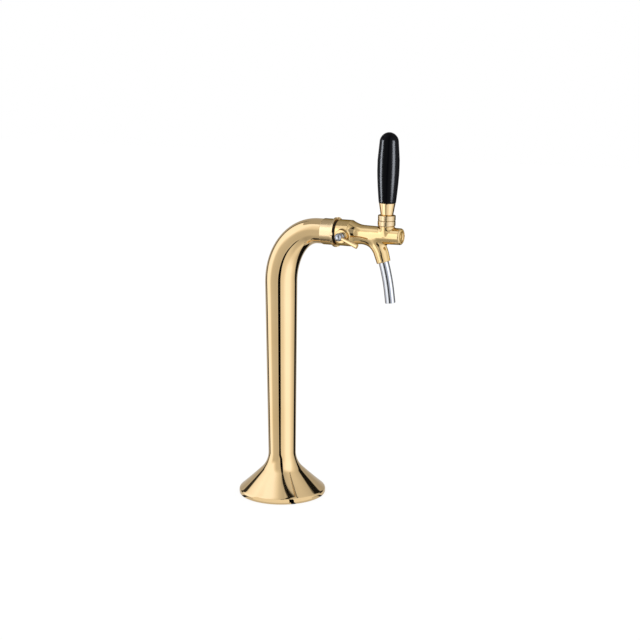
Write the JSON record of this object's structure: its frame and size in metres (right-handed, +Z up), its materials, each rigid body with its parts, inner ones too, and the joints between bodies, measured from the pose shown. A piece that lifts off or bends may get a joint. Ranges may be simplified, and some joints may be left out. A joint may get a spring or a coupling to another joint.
{
  "type": "draft beer tower",
  "caption": "Gold gooseneck draft beer tower on a round flared foot, with a tap, side flow lever, black tilting handle and curved steel spout.",
  "frame": {"origin": "middle of the foot's underside, at the centre of the stud circle", "axes": "+Z up along the column, +X towards the tap's front, -Y is the side with the flow lever"},
  "size_m": [0.218, 0.11, 0.4643],
  "materials": {
    "gold_casting": "polished gold",
    "gold_fitting": "polished gold",
    "stainless": "polished",
    "rubber": "matt",
    "black_grip": "glossy",
    "nylon": "natural"
  },
  "bodies": {
    "tower": {"tower_foot": "gold_casting", "tower_column": "gold_casting", "tower_gooseneck": "gold_casting", "foot_gasket": "rubber", "beer_line": "stainless", "neck_bush": "gold_fitting", "lock_ring": "gold_fitting", "shank_washer": "rubber", "tap_shank": "gold_fitting", "inlet_washer": "rubber", "tap_body": "gold_fitting", "spindle_seal": "rubber", "gland_nut": "gold_fitting", "ball_seat": "nylon", "friction_ring": "nylon", "bonnet_nut": "gold_fitting", "front_plug": "gold_fitting", "plug_washer": "rubber", "spout_tube": "stainless", "spout_ring": "rubber"},
    "handle": {"handle_lever": "stainless", "handle_collar": "gold_fitting", "handle_ferrule": "gold_fitting", "handle_insert": "gold_fitting", "handle_grip": "black_grip"},
    "plunger": {"valve_plunger": "stainless", "valve_seal": "rubber", "seal_nut": "stainless", "plunger_ring": "rubber"},
    "flow_control": {"flow_spindle": "stainless", "flow_lever": "gold_fitting"},
    "flow_cone": {"flow_cone": "nylon"}
  },
  "joints": [
    {"name": "handle_tilt", "type": "hinge", "parent": "tower", "child": "handle", "pos_m": [0.1427, 0, 0.3516], "axis": [0, 1, 0], "range_deg": [0, 20]},
    {"name": "valve_slide", "type": "slide", "parent": "tower", "child": "plunger", "axis": [1, 0, 0], "range_m": [-0.0037, 0]},
    {"name": "flow_turn", "type": "hinge", "parent": "tower", "child": "flow_control", "pos_m": [0.0917, 0, 0.3391], "axis": [0, 1, 0], "range_deg": [-45, 45]},
    {"name": "flow_slide", "type": "slide", "parent": "tower", "child": "flow_cone", "axis": [1, 0, 0], "range_m": [-0.002, 0.002]}
  ],
  "couplings": [
    {"joint": "valve_slide", "follows": "handle_tilt", "m_per_rad": -0.010386},
    {"joint": "flow_slide", "follows": "flow_turn", "m_per_rad": 0.00241}
  ]
}
